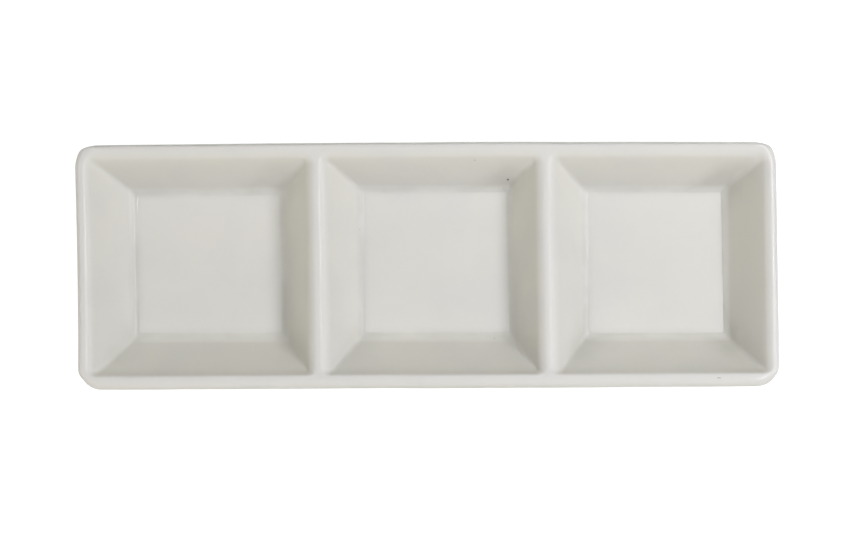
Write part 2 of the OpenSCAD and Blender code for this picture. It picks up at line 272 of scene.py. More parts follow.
class Section:
    """Arcs of the wall's section, as places [distance in from the crest, height above the table]."""

    def __init__(self, shape):
        self.shape = shape
        self.floor_level = shape.foot_height + shape.floor_thickness
        self.divider_level = shape.tray_height - shape.divider_drop
        self.reach = shape.crest_flat + shape.rim_round_outer
        self.heel_round = shape.floor_fillet + shape.floor_thickness
        self.edge = Vector((-shape.crest_flat, shape.tray_height - shape.rim_round_outer))
        self.shoulder = Vector((shape.crest_flat, shape.tray_height - shape.rim_round_inner))
        self.divider = Vector((shape.crest_flat, self.divider_level - shape.divider_round))
        self.hollow = Vector((shape.wall_run, self.floor_level + shape.floor_fillet))
        self.valley = Vector((0.0, self.divider_level - shape.divider_thickness - shape.valley_round))
        fillet = shape.floor_fillet
        turn = shape.shoulder_turn
        self.rim_run_out = over(self.shoulder, shape.rim_round_inner - shape.rim_ease, turn)
        self.divider_run_out = over(self.divider, shape.divider_round - shape.divider_ease, turn)
        self.inner_slope = crossed_slope(self.rim_run_out, self.hollow, shape.rim_ease + fillet)
        self.divider_slope = crossed_slope(self.divider_run_out, self.hollow, shape.divider_ease + fillet)
        self.valley_slope = crossed_slope(self.valley, self.hollow, shape.valley_round + self.heel_round)
        self.outer_slope = crossed_slope(self.edge, self.hollow, self.heel_round - shape.rim_round_outer)

    def outer_wall(self, skin, inset):
        """Height of the outside of the long walls at a distance in from the crest."""
        tangent = under(self.edge, self.shape.rim_round_outer - skin, self.outer_slope)
        return tangent.y - (inset - tangent.x) * math.tan(self.outer_slope)

    def crest_lines(self):
        """Places of the crest lines along the tray, from the left end to the right end."""
        inside = self.shape.tray_length - 2.0 * self.reach
        shares = np.array(self.shape.well_shares)
        sums = np.concatenate(([0.0], np.cumsum(shares))) / shares.sum()
        return inside * (sums - 0.5)

    def inside_half_width(self):
        """Distance of the rim's crest from the middle line."""
        return self.shape.tray_width / 2.0 - self.reach


class Station:
    """One rounded rectangle round a well: its places in the rim's and a divider's section, its corner radius,
    and its marks: how much of the floor's pad lies there, how much darker the glaze is there, and how much
    painted highlight lightens the glaze there."""

    def __init__(self, rim, divider, radius, pad=0.0, darkening_and_shade=0.0, lighter=0.0):
        self.rim, self.divider, self.radius = rim, divider, radius
        self.marks = (pad, darkening_and_shade, lighter)


MARKS = ("pad", "darkening_and_shade", "lighter")
NO_MARKS = (0.0,) * len(MARKS)
# The crest line carries the full painted highlight.
CREST_MARKS = (0.0, 0.0, 1.0)
PLACE = 3


def shoulder_stations(section, skin, count):
    """From the crest over the inner shoulder of the rim and of the dividers."""
    shape = section.shape
    crest_corner = shape.corner_radius - section.reach
    turn = shape.shoulder_turn
    found = []
    for step in range(2 * count + 1):
        if step <= count:
            slope = turn * step / count
            rim = over(section.shoulder, shape.rim_round_inner - skin, slope)
            divider = over(section.divider, shape.divider_round - skin, slope)
        else:
            part = step / count - 1.0
            slope = mix(turn, section.inner_slope, part)
            low_slope = mix(turn, section.divider_slope, part)
            rim = over(section.rim_run_out, shape.rim_ease - skin, slope)
            divider = over(section.divider_run_out, shape.divider_ease - skin, low_slope)
        turned = math.sin(slope)
        part = turned / math.sin(section.inner_slope)
        radius = mix(crest_corner - shape.crest_flat, shape.wall_corner, part)
        # Painted highlight, full at the crest and fading to nothing where the shoulder runs out into the
        # wall.
        found.append(Station(rim, divider, radius + skin * turned, lighter=1.0 - ease(step / count / 2.0)))
    return found


def between(first, last, count):
    """Stations on the straight wall between two others."""
    found = []
    for step in range(1, count):
        part = step / count
        marks = [mix(a, b, ease(part)) for a, b in zip(first.marks, last.marks)]
        found.append(Station(
            first.rim.lerp(last.rim, part), first.divider.lerp(last.divider, part),
            mix(first.radius, last.radius, part), *marks,
        ))
    return found


DARKENING_PLACE = 0.25
DARKENING_SPREAD = 0.45


def darkened(part):
    """How much darker the glaze is at a part of the way up a hollow, most a quarter of the way up from the
    floor.
    """
    return math.exp(-((part - DARKENING_PLACE) / DARKENING_SPREAD) ** 2)


def hollow_stations(section, skin, count):
    """Round the hollow between the wall and the floor."""
    shape = section.shape
    floor_corner, wall_corner = shape.floor_corner, shape.wall_corner
    found = []
    for step in range(count + 1):
        part = 1.0 - step / count
        angle = section.inner_slope * part
        found.append(Station(
            under(section.hollow, shape.floor_fillet + skin, angle),
            under(section.hollow, shape.floor_fillet + skin, section.divider_slope * part),
            mix(floor_corner, (floor_corner + wall_corner) / 2.0, part) + skin * math.sin(angle),
            darkening_and_shade=darkened(part),
        ))
    return found


FLOOR_REACH = 0.96


def floor_stations(section, count, form):
    """Rings on the flat of the floor: close together over the pad's edge, then wider apart."""
    shape = section.shape
    edge = Vector((shape.wall_run, section.floor_level))
    half = section.inside_half_width() - shape.wall_run
    rise = [form.pad_edge * step / count for step in range(1, count + 1)]
    flat = [mix(form.pad_edge, half * FLOOR_REACH, (step / count) ** 2) for step in range(1, count)]
    found = []
    for inward in rise + flat:
        place = edge + Vector((inward, 0.0))
        found.append(Station(
            place, place.copy(), shape.floor_corner * (1.0 - inward / half),
            pad=ease(min(inward / form.pad_edge, 1.0)),
            darkening_and_shade=darkened(-inward / (shape.floor_fillet * section.inner_slope)),
        ))
    return found


def valley_stations(section, skin, count):
    """From the top of the valley under a divider onto its sides."""
    shape = section.shape
    found = []
    for step in range(1, count + 1):
        part = step / count
        arch = over(section.valley, shape.valley_round + skin, section.valley_slope * part)
        crest_corner = shape.corner_radius - section.reach
        radius = mix(crest_corner, shape.bowl_corner, part) - skin * math.sin(section.outer_slope)
        found.append(Station(Vector((arch.x, section.outer_wall(skin, arch.x))), arch, radius))
    return found


def heel_stations(section, skin, count):
    """Round the heel between the outside walls and the flat base."""
    shape = section.shape
    found = []
    for step in range(count + 1):
        part = 1.0 - step / count
        angle = section.outer_slope * part
        found.append(Station(
            under(section.hollow, section.heel_round - skin, angle),
            under(section.hollow, section.heel_round - skin, section.valley_slope * part),
            mix(shape.base_corner, shape.bowl_corner, part) - skin * math.sin(angle),
        ))
    return found


class Foot:
    """The sides of a foot ring."""

    def __init__(self, shape):
        self.shape = shape
        self.outside = shape.wall_run + shape.foot_setback
        spread = shape.foot_draft + shape.foot_bevel + shape.glaze_thickness
        self.inside = self.outside + shape.foot_width + 2.0 * spread
        self.inner_corner = shape.foot_corner * shape.foot_inner_share

    def side(self, skin, height):
        """Outer side, in from the crest."""
        return self.outside + skin + self.shape.foot_draft * (1.0 - height / self.shape.foot_height)

    def back(self, skin, height):
        """Inner side, in from the crest."""
        return self.inside - skin - self.shape.foot_draft * (1.0 - height / self.shape.foot_height)


def same_station(inset, height, radius):
    """A station at one height all round."""
    place = Vector((inset, height))
    return Station(place, place.copy(), radius)


def foot_front_stations(foot, skin):
    """Down the outer side of a foot ring, to the edge of the glaze."""
    shape = foot.shape
    heights = (shape.foot_height + skin, shape.bare_height)
    return [
        same_station(foot.side(skin, min(height, shape.foot_height)), height, shape.foot_corner - skin)
        for height in heights
    ]


def foot_back_stations(foot, skin):
    """Up the inner side of a foot ring, from the edge of the glaze."""
    shape = foot.shape
    heights = (shape.bare_height, shape.foot_height + skin)
    return [
        same_station(foot.back(skin, min(height, shape.foot_height)), height, foot.inner_corner + skin)
        for height in heights
    ]


def foot_tread_stations(foot, skin):
    """Over the bare tread of a foot ring."""
    shape = foot.shape
    bevel = shape.foot_bevel
    return [
        same_station(foot.side(skin, bevel), bevel, shape.foot_corner - skin),
        same_station(foot.side(skin, 0.0) + bevel, 0.0, shape.foot_corner - skin - bevel),
        same_station(foot.back(skin, 0.0) - bevel, 0.0, foot.inner_corner + skin + bevel),
        same_station(foot.back(skin, bevel), bevel, foot.inner_corner + skin),
    ]


RUN_POWER = 2.2
CREASE_SHARES = (0.6, 1.0, 1.9)
# Painted shade near the wells' corners: how far in from the crest it grows to full, its reach, how far the
# back spots lie to the left, and its strength at each corner of each well (back right, back left, front left,
# front right).
CORNER_SHADE_DEPTH = 0.7
CORNER_SHADE_REACH = 0.011
CORNER_SHADE_SHIFT = 0.008
CORNER_SHADES = ((1.0, 0.0, 0.8, 0.4), (1.2, 0.0, 0.7, 0.4), (1.7, 0.0, 1.0, 1.3))
TUCK_PLACE = 0.0045


class Rings:
    """Lays the stations out as closed rings of points round each well."""

    def __init__(self, section, fineness, form):
        self.section = section
        self.fineness = fineness
        self.form = form
        self.changes = (form.left_well, form.middle_well, form.right_well)
        self.creases = form.creases
        self.tucks = form.tucks
        self.corner_steps = fineness.corner
        self.side_steps = fineness.side
        self.block = self.corner_steps + self.side_steps
        self.count = CORNERS * self.block
        self.crest_x = section.crest_lines()
        self.half_width = section.inside_half_width()
        self.crest_corner = section.shape.corner_radius - section.reach

    def is_end(self, well, corner):
        """Whether a corner of a well is a corner of the tray."""
        return well == LAST_WELL if CORNER_SIGNS[corner][0] > 0 else well == 0

    def is_divider(self, well, side):
        """Whether a side of a well is a divider."""
        return (side == RIGHT_SIDE and well < LAST_WELL) or (side == LEFT_SIDE and well > 0)

    def corner_place(self, well, corner):
        """Where the crest lines beside a corner would cross."""
        sign_x, sign_y = CORNER_SIGNS[corner]
        return np.array((self.crest_x[well + 1 if sign_x > 0 else well], sign_y * self.half_width))

    def stretched(self, well, side, inset):
        """A place in from the crest, with that wall's run changed and its hollow cut by the floor."""
        if inset > 0.0 and not self.is_divider(well, side):
            inset -= self.tucks[side] * inset / TUCK_PLACE * math.exp(1.0 - inset / TUCK_PLACE)
        crease = self.creases[side] * CREASE_SHARES[well]
        foot = self.section.shape.wall_run - crease
        inset -= min(max(inset - foot, 0.0), crease)
        return inset + self.changes[well][side] * min(inset / foot, 1.0) ** RUN_POWER

    def close(self, arcs):
        """Joins four arcs with straight sides into one ring."""
        parts = []
        along = np.linspace(0.0, 1.0, self.side_steps + 1)[1:-1, None]
        for corner, arc in enumerate(arcs):
            following = arcs[(corner + 1) % CORNERS][0]
            parts += [arc, arc[-1] + (following - arc[-1]) * along]
        return np.concatenate(parts)

    def turns(self, corner):
        """Angles round a corner."""
        return np.radians(90.0) * (corner + np.linspace(0.0, 1.0, self.corner_steps + 1))

    def ring(self, well, station):
        """One station's ring of points, with its marks beside each point."""
        arcs = []
        for corner in range(CORNERS):
            signs = np.array(CORNER_SIGNS[corner])
            side = RIGHT_SIDE if signs[0] > 0 else LEFT_SIDE
            end = BACK_SIDE if signs[1] > 0 else FRONT_SIDE
            beside = station.divider if self.is_divider(well, side) else station.rim
            inset = (self.stretched(well, side, beside.x), self.stretched(well, end, station.rim.x))
            centre = self.corner_place(well, corner) - signs * (np.array(inset) + station.radius)
            turns = self.turns(corner)
            first = float(self.is_divider(well, corner))
            last = float(self.is_divider(well, (corner + 1) % CORNERS))
            part = mix(first, last, ease(np.linspace(0.0, 1.0, self.corner_steps + 1)))
            arcs.append(np.column_stack((
                centre[0] + station.radius * np.cos(turns),
                centre[1] + station.radius * np.sin(turns),
                mix(station.rim.y, station.divider.y, part),
            )))
        ring = self.close(arcs)
        marks = np.tile(station.marks, (self.count, 1))
        # Painted shade near the wells' corners, heaviest in the back right ones; none at the crest and none
        # on the pad.
        corners = np.array([arc[self.corner_steps // 2, :2] for arc in arcs])
        corners[:CORNERS // 2, 0] -= CORNER_SHADE_SHIFT
        near = np.linalg.norm(ring[:, None, :2] - corners, axis=2)
        depth = ease(min(station.rim.x / (CORNER_SHADE_DEPTH * self.section.shape.wall_run), 1.0))
        corner_shades = np.exp(-(near / CORNER_SHADE_REACH) ** 2) @ np.array(CORNER_SHADES[well])
        marks[:, 1] += depth * (1.0 - marks[:, 0]) * corner_shades
        return np.column_stack((ring, marks))

    def crest_arcs(self, well, rim_level, low_level):
        """Arcs of the crest line round a well, which climbs to the rim where a divider ends."""
        arcs = []
        for corner in range(CORNERS):
            turns = self.turns(corner)
            across, along = np.abs(np.sin(turns)), np.abs(np.cos(turns))
            part = np.zeros(len(turns))
            reach = np.ones(len(turns))
            if not self.is_end(well, corner):
                low = across < along
                part[low] = ease(1.0 - across[low] / along[low])
                reach = 1.0 / np.maximum(across, along)
            centre = self.corner_place(well, corner) - self.crest_corner * np.array(CORNER_SIGNS[corner])
            arcs.append(np.column_stack((
                centre[0] + self.crest_corner * reach * np.cos(turns),
                centre[1] + self.crest_corner * reach * np.sin(turns),
                mix(rim_level, low_level, part),
            )))
        return arcs

    def crest(self, well, rim_level, low_level, marks=CREST_MARKS):
        """The crest line round a well, with its marks."""
        ring = self.close(self.crest_arcs(well, rim_level, low_level))
        return np.column_stack((ring, np.tile(marks, (self.count, 1))))

    def crest_normals(self, well):
        """Outward directions in plan along the crest line round a well."""
        arcs = []
        for corner in range(CORNERS):
            turns = self.turns(corner)
            if self.is_end(well, corner):
                arcs.append(np.column_stack((np.cos(turns), np.sin(turns))))
            else:
                arcs.append(np.tile((0.0, CORNER_SIGNS[corner][1]), (len(turns), 1)))
        parts = []
        for corner, arc in enumerate(arcs):
            parts += [arc, np.tile(SIDE_NORMALS[(corner + 1) % CORNERS], (self.side_steps - 1, 1))]
        return np.concatenate(parts)

    def outline_indices(self):
        """The crest line round the whole tray, as (well, point) pairs, anticlockwise."""
        half = self.corner_steps // 2
        spans = [(LAST_WELL, 2 * self.block + half, self.count + self.block + half)]
        spans += [(well, half, self.block + half) for well in range(LAST_WELL - 1, 0, -1)]
        spans += [(0, half, 3 * self.block + half)]
        spans += [(well, 2 * self.block + half, 3 * self.block + half) for well in range(1, LAST_WELL)]
        return [(well, point % self.count) for well, first, last in spans for point in range(first, last)]

    def edge_rings(self, skin, count):
        """Round the outer edge of the rim, from the crest to where the outside wall begins."""
        section = self.section
        shape = section.shape
        crests = [self.crest(well, 0.0, 0.0)[:, :2] for well in range(LAST_WELL + 1)]
        normals = [self.crest_normals(well) for well in range(LAST_WELL + 1)]
        at = self.outline_indices()
        plan = np.array([crests[well][point] for well, point in at])
        outward = np.array([normals[well][point] for well, point in at])
        full_turn = math.pi - section.outer_slope
        found = []
        for step in range(count + 1):
            place = over(section.edge, shape.rim_round_outer - skin, -full_turn * step / count)
            level = np.full((len(plan), 1), place.y)
            # Painted highlight, fading from the crest round the outer edge.
            marks = np.tile(np.array(CREST_MARKS) * (1.0 - ease(step / count)), (len(plan), 1))
            found.append(np.hstack((plan - place.x * outward, level, marks)))
        return found

    def outline(self, crests):
        """The outline's own points out of the crest rings of the wells."""
        return np.array([crests[well][point] for well, point in self.outline_indices()])


class Surface:
    """Points and faces gathered ring by ring, then welded where they meet. Each point has one more mark:
    1 on the open face, 0 where the glaze meets the clay."""

    def __init__(self):
        self.points, self.faces, self.size = [], [], 0
        self.open_face = 1.0

    def add(self, ring):
        """Adds a ring's points and returns their numbers."""
        self.points.append(np.column_stack((ring, np.full(len(ring), self.open_face))))
        numbers = np.arange(self.size, self.size + len(ring))
        self.size += len(ring)
        return numbers

    def band(self, outer, inner, turned):
        """Faces between two rings of numbers."""
        quads = np.column_stack((outer, np.roll(outer, -1), np.roll(inner, -1), inner))
        self.faces.append(quads if turned else quads[:, ::-1])

    def bands(self, rings, turned):
        """Faces along a run of rings of points. Returns the last ring's numbers."""
        numbers = [self.add(ring) for ring in rings]
        for outer, inner in zip(numbers, numbers[1:]):
            self.band(outer, inner, turned)
        return numbers[-1]

    def cap(self, numbers, points, turned):
        """Closes a ring with a fan to its middle."""
        middle = self.add(points.mean(axis=0)[None, :])[0]
        fan = np.column_stack((numbers, np.roll(numbers, -1), np.full(len(numbers), middle)))
        fan = np.column_stack((fan, fan[:, 2]))
        self.faces.append(fan if turned else fan[:, [1, 0, 2, 3]])

    def welded(self):
        """Points without doubles and faces without empty corners."""
        points = np.concatenate(self.points)
        faces = np.concatenate(self.faces)
        keys = np.round(points[:, :PLACE], WELD_DECIMALS)
        _, first, inverse = np.unique(keys, axis=0, return_index=True, return_inverse=True)
        clean = []
        for face in inverse.reshape(-1)[faces]:
            corners = [int(n) for at, n in enumerate(face) if n != face[at - 1]]
            if len(set(corners)) > 2:
                clean.append(corners)
        return points[first], clean


def top_rings(rings, well, skin, hidden):
    """Rings from the crest of a well down to its floor."""
    section, fineness = rings.section, rings.fineness
    crest_count = fineness.hidden if hidden else fineness.crest
    hollow_count = fineness.hidden if hidden else fineness.hollow
    wall_count = 1 if hidden else fineness.wall
    shoulder = shoulder_stations(section, skin, crest_count)
    hollow = hollow_stations(section, skin, hollow_count)
    stations = shoulder + between(shoulder[-1], hollow[0], wall_count) + hollow
    if not hidden:
        stations += floor_stations(section, fineness.floor, rings.form)
    crest = rings.crest(well, section.shape.tray_height - skin, section.divider_level - skin)
    return [crest] + [rings.ring(well, station) for station in stations]


def under_rings(rings, well, skin, stations, hidden):
    """Rings from the crest line's underside down to the foot ring."""
    section = rings.section
    count = rings.fineness.hidden if hidden else rings.fineness.under
    valley = valley_stations(section, skin, count)
    heel = heel_stations(section, skin, count)
    run = valley + between(valley[-1], heel[0], count) + heel + stations
    top = section.valley.y + section.shape.valley_round + skin
    crest = rings.crest(well, section.outer_wall(skin, 0.0), top, NO_MARKS)
    return [crest] + [rings.ring(well, station) for station in run]


def add_skin(surface, rings, skin, stations, hidden, flipped):
    """Adds the whole skin of the tray at a depth. Returns the last ring under each well."""
    lips, under_crests, top_crests = [], [], []
    for well in range(LAST_WELL + 1):
        top = top_rings(rings, well, skin, hidden)
        floor = surface.bands(top, flipped)
        surface.cap(floor, top[-1], flipped)
        below = under_rings(rings, well, skin, stations, hidden)
        lips.append((surface.bands(below, not flipped), below[-1]))
        top_crests.append(top[0])
        under_crests.append(below[0])
    count = rings.fineness.hidden * 2 if hidden else rings.fineness.outer_edge
    edge = rings.edge_rings(skin, count)
    surface.bands([rings.outline(top_crests)] + edge + [rings.outline(under_crests)], not flipped)
    return lips


CREST_PLACE = 0.0042
CREST_SPREAD = 0.0035
CREST_LIFT_POWER = 4
PINCH_POWER = 6


class Kiln:
    """Turns the drawing's places into those of the fired tray, which just fills the drawing's box."""

    def __init__(self, rings):
        form = rings.form
        self.shape, self.form = rings.section.shape, form
        self.low, self.high = np.array(CAD_LOW), np.array(CAD_HIGH)
        rim = self.warp(np.concatenate(rings.edge_rings(0.0, CORNERS))[:, :PLACE])
        found_low, found_high = rim.min(axis=0), rim.max(axis=0)
        found_low[2] = self.low[2]
        room = np.array((form.margin, form.margin, form.margin / 2.0))
        self.scale = (self.high - self.low - 2.0 * room) / (found_high - found_low)
        self.middle = (found_low + found_high) / 2.0
        self.middle[2] = 0.0

    def warp(self, points):
        """The slow changes of form."""
        shape, form = self.shape, self.form
        moved = points.copy()
        along = 2.0 * points[:, 0] / shape.tray_length
        across = 2.0 * points[:, 1] / shape.tray_width
        lift = np.clip(points[:, 2] / shape.tray_height, 0.0, 1.0)
        bow = form.back_bow * np.clip(across, 0.0, 1.0) - form.front_bow * np.clip(-across, 0.0, 1.0)
        moved[:, 0] -= form.skew * across / 2.0
        moved[:, 0] += form.left_pinch * np.clip(-along, 0.0, 1.0) ** PINCH_POWER * (1.0 - across ** 2)
        moved[:, 1] += bow * (1.0 - along ** 2)
        lean = np.where(along < 0.0, -form.left_lean, form.right_lean)
        moved[:, 0] += lean * self.crest_share(points[:, 0], shape.tray_length, lift)
        moved[:, 1] += form.lean_back * self.crest_share(points[:, 1], shape.tray_width, lift)
        waves = np.array([noise.noise_vector(Vector(point) / form.slow_span) for point in points])
        waves[:, 2] *= lift
        moved += form.slow_wave * waves
        return moved

    def crest_share(self, places, size, lift):
        """How near to the rim's crest places lie, across one direction of the tray."""
        inward = size / 2.0 - np.abs(places) - CREST_PLACE
        return np.exp(-(inward / CREST_SPREAD) ** 2) * lift ** CREST_LIFT_POWER

    def fire(self, points):
        """Points in the fired form."""
        return (self.warp(points) - self.middle) * self.scale


PAD_RISE = 0.3
PAD_REACH = 0.037
RIPPLE_DROP = 0.6


def ripple(mesh, marks, form):
    """Raises the pads of the floors and adds small waves, along the surface's own normals."""
    count = len(mesh.vertices)
    places = np.zeros(count * PLACE)
    mesh.vertices.foreach_get("co", places)
    places = places.reshape(-1, PLACE)
    normals = np.zeros(count * PLACE, np.float32)
    mesh.vertex_normals.foreach_get("vector", normals)
    normals = normals.reshape(-1, PLACE)
    height = np.zeros(count)
    for at in np.flatnonzero(marks[:, -1]):
        place = Vector(places[at])
        height[at] = form.quick_wave * (noise.noise(place / form.quick_span) - RIPPLE_DROP)
        height[at] += form.pad_height * marks[at, 0] * (PAD_RISE + place.y / PAD_REACH)
    mesh.vertices.foreach_set("co", (places + normals * height[:, None]).ravel())
    mesh.update()


def make_piece(name, points, faces, material, marks):
    """A smooth mesh object that rides on the tray's body."""
    mesh = bpy.data.meshes.new(name)
    mesh.from_pydata(points.tolist(), [], faces)
    mesh.polygons.foreach_set("use_smooth", [True] * len(mesh.polygons))
    mesh.set_sharp_from_angle(angle=SHARP)
    mesh.update()
    for column, mark in enumerate(MARKS):
        layer = mesh.attributes.new(mark, "FLOAT", "POINT")
        layer.data.foreach_set("value", marks[:, column].astype(np.float32))
    mesh.materials.append(material)
    piece = bpy.data.objects.new(name, mesh)
    bpy.context.scene.collection.objects.link(piece)
    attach(piece, BODY)
    return piece


class Nodes:
    """Short hand for building the nodes of a material or of the world."""

    def __init__(self, block, shader="Principled BSDF"):
        block.use_nodes = True
        self.tree = block.node_tree
        self.shader = self.tree.nodes[shader]

    def add(self, kind, **values):
        """Adds a node and sets its properties."""
        node = self.tree.nodes.new(kind)
        for key, value in values.items():
            setattr(node, key, value)
        return node

    def link(self, output, socket):
        """Links two sockets."""
        self.tree.links.new(output, socket)

    def blend(self, amount, first, second):
        """A colour between two others. Each is a colour or a socket."""
        node = self.add("ShaderNodeMix", data_type="RGBA")
        self.feed(node.inputs[0], amount)
        self.feed(node.inputs[6], first)
        self.feed(node.inputs[7], second)
        return node.outputs[2]

    def feed(self, socket, value):
        """Sets a socket to a value, or links it to another socket."""
        if isinstance(value, bpy.types.NodeSocket):
            self.link(value, socket)
        elif len(socket.default_value if hasattr(socket.default_value, "__len__") else ()) == 4:
            socket.default_value = (*value[:3], 1.0)
        else:
            socket.default_value = value

    def noise(self, vector, scale, detail=2.0, roughness=0.5):
        """A noise from 0 to 1, with so many waves a metre."""
        node = self.add("ShaderNodeTexNoise")
        self.link(vector, node.inputs["Vector"])
        node.inputs["Scale"].default_value = scale
        node.inputs["Detail"].default_value = detail
        node.inputs["Roughness"].default_value = roughness
        return node.outputs["Fac"]

    def ramp(self, value, low, high, to_low=0.0, to_high=1.0):
        """Spreads a value between two limits, clamped."""
        node = self.add("ShaderNodeMapRange", interpolation_type="SMOOTHSTEP")
        self.link(value, node.inputs["Value"])
        node.inputs["From Min"].default_value = low
        node.inputs["From Max"].default_value = high
        node.inputs["To Min"].default_value = to_low
        node.inputs["To Max"].default_value = to_high
        return node.outputs["Result"]

    def math(self, operation, first, second=0.0):
        """One sum."""
        node = self.add("ShaderNodeMath", operation=operation)
        self.feed(node.inputs[0], first)
        self.feed(node.inputs[1], second)
        return node.outputs[0]

    def mark(self, name):
        """A mark that the mesh carries."""
        return self.add("ShaderNodeAttribute", attribute_name=name).outputs["Fac"]

    def place(self):
        """Places on the object, in metres."""
        return self.add("ShaderNodeTexCoord").outputs["Object"]

    def spot(self, place, centre, reach):
        """1 on a spot as seen from above, and 0 outside it."""
        apart = self.add("ShaderNodeVectorMath", operation="SUBTRACT")
        self.link(place, apart.inputs[0])
        apart.inputs[1].default_value = (*centre, 0.0)
        shares = self.add("ShaderNodeVectorMath", operation="MULTIPLY")
        self.link(apart.outputs[0], shares.inputs[0])
        shares.inputs[1].default_value = (1.0 / reach[0], 1.0 / reach[1], 0.0)
        far = self.add("ShaderNodeVectorMath", operation="LENGTH")
        self.link(shares.outputs[0], far.inputs[0])
        return self.ramp(far.outputs["Value"], SPOT_CORE, 1.0, 1.0, 0.0)

    def bumps(self, height, distance, strength):
        """A bump on the shader's normal."""
        node = self.add("ShaderNodeBump")
        node.inputs["Strength"].default_value = strength
        node.inputs["Distance"].default_value = distance
        self.link(height, node.inputs["Height"])
        self.link(node.outputs["Normal"], self.shader.inputs["Normal"])

    def roughness(self, value, level, spread):
        """A roughness about a level, by a value between two limits. The spread is limits and shares."""
        low, high, least, most = spread
        self.link(self.ramp(value, low, high, level * least, level * most), self.shader.inputs["Roughness"])

    def seen(self):
        """1 where the eye meets a surface, straight, mirrored or through glass, and 0 for its light."""
        path = self.add("ShaderNodeLightPath")
        straight = self.math("MAXIMUM", path.outputs["Is Camera Ray"], path.outputs["Is Glossy Ray"])
        return self.math("MAXIMUM", straight, path.outputs["Is Transmission Ray"])


CLOUD_WAVES = 34.0
CLOUD_RANGE = (0.42, 0.68)
CLOUD_SHARE = 0.6
# Noise that breaks up the darkening, and how much of the painted highlight shows.
DARKENING_WAVES = 60.0
DARKENING_RANGE = (0.2, 0.7, 0.35, 0.9)
LIGHTER_SHARE = 0.6
SPECKS_PER_METRE = 95.0
SPECK_RANGE = (0.018, 0.034, 1.0, 0.0)
SPECK_CHOICE = 0.93
SPECK_SHARE = 0.55
GLOSS_WAVES = 90.0
GLOSS_SPREAD = (0.3, 0.8, 0.75, 1.35)
GLASS_IOR = 1.5
FINE_PEEL_WAVES = 260.0
PEEL_WAVES = 70.0
PEEL_SHARE = 2.0
GLAZE_BUMP = (0.00002, 0.5)
SPOT_CORE = 0.5
IRON_SPOTS = (
    ((0.0417, 0.0447), (0.0007, 0.0006), 0.9),
    ((0.0249, 0.0543), (0.0005, 0.0004), 0.35),
    ((0.0340, -0.0393), (0.0004, 0.0004), 0.35),
    ((0.1505, -0.0588), (0.0014, 0.0003), 0.5),
    ((-0.0371, 0.0189), (0.0006, 0.0010), 0.1),
)
DRIP_PLACE = (0.1590, -0.0345)
DRIP_REACH = (0.0055, 0.0085)
DRIP_WAVES = 600.0
DRIP_DEPTH = 14.0
BLOB_PLACE = (0.0404, 0.0403)
BLOB_REACH = (0.0018, 0.0020)
BLOB_DEPTH = 12.0


def glaze_material(look):
    """Off-white gloss glaze: darker low in the hollows, painted shade in the wells' corners, painted
    highlight along the crests, clouded and specked.
    """
    material = bpy.data.materials.new("off_white_glaze")
    nodes = Nodes(material)
    place = nodes.place()
    clouds = nodes.ramp(nodes.noise(place, CLOUD_WAVES, 3.0), *CLOUD_RANGE)
    tone = nodes.blend(nodes.math("MULTIPLY", clouds, CLOUD_SHARE), look.base, look.mottle)
    # Darker low in the hollows, and painted shade in the wells' corners.
    depth = nodes.noise(place, DARKENING_WAVES)
    darkening_and_shade = nodes.math("MULTIPLY", nodes.mark("darkening_and_shade"), nodes.ramp(depth, *DARKENING_RANGE))
    tone = nodes.blend(darkening_and_shade, tone, look.darkened)
    # Painted highlight along the crests and the rim's outer edge.
    lighter = nodes.math("MULTIPLY", nodes.mark("lighter"), LIGHTER_SHARE)
    tone = nodes.blend(lighter, tone, look.lighter)
    cells = nodes.add("ShaderNodeTexVoronoi", feature="F1")
    nodes.link(place, cells.inputs["Vector"])
    cells.inputs["Scale"].default_value = SPECKS_PER_METRE
    near = nodes.ramp(cells.outputs["Distance"], *SPECK_RANGE)
    pick = nodes.add("ShaderNodeSeparateColor")
    nodes.link(cells.outputs["Color"], pick.inputs["Color"])
    chosen = nodes.math("GREATER_THAN", pick.outputs["Red"], SPECK_CHOICE)
    faint = nodes.math("MULTIPLY", nodes.math("MULTIPLY", near, chosen), pick.outputs["Green"])
    tone = nodes.blend(nodes.math("MULTIPLY", faint, SPECK_SHARE), tone, look.speck)
    for centre, reach, strength in IRON_SPOTS:
        iron = nodes.math("MULTIPLY", nodes.spot(place, centre, reach), strength)
        tone = nodes.blend(iron, tone, look.speck)
    nodes.link(tone, nodes.shader.inputs["Base Color"])
    nodes.roughness(nodes.noise(place, GLOSS_WAVES, 3.0), look.roughness, GLOSS_SPREAD)
    nodes.shader.inputs["IOR"].default_value = GLASS_IOR
    slow_peel = nodes.math("MULTIPLY", nodes.noise(place, PEEL_WAVES), PEEL_SHARE)
    peel = nodes.math("ADD", nodes.noise(place, FINE_PEEL_WAVES), slow_peel)
    ridges = nodes.noise(place, DRIP_WAVES, 1.0)
    drips = nodes.math("MULTIPLY", nodes.spot(place, DRIP_PLACE, DRIP_REACH), ridges)
    peel = nodes.math("ADD", peel, nodes.math("MULTIPLY", drips, DRIP_DEPTH))
    blob = nodes.math("MULTIPLY", nodes.spot(place, BLOB_PLACE, BLOB_REACH), BLOB_DEPTH)
    nodes.bumps(nodes.math("ADD", peel, blob), *GLAZE_BUMP)
    return material


CLAY_WAVES = 120.0
CLAY_RANGE = (0.35, 0.7, 0.0, 0.4)
CLAY_SPREAD = (0.2, 0.8, 0.9, 1.1)
GRAIN_WAVES = 1500.0
GRAIN_RANGE = (0.62, 0.72)
GRAIN_SHARE = 0.7
SPONGE_WAVES = 1800.0
CLAY_BUMP = (0.00008, 0.6)


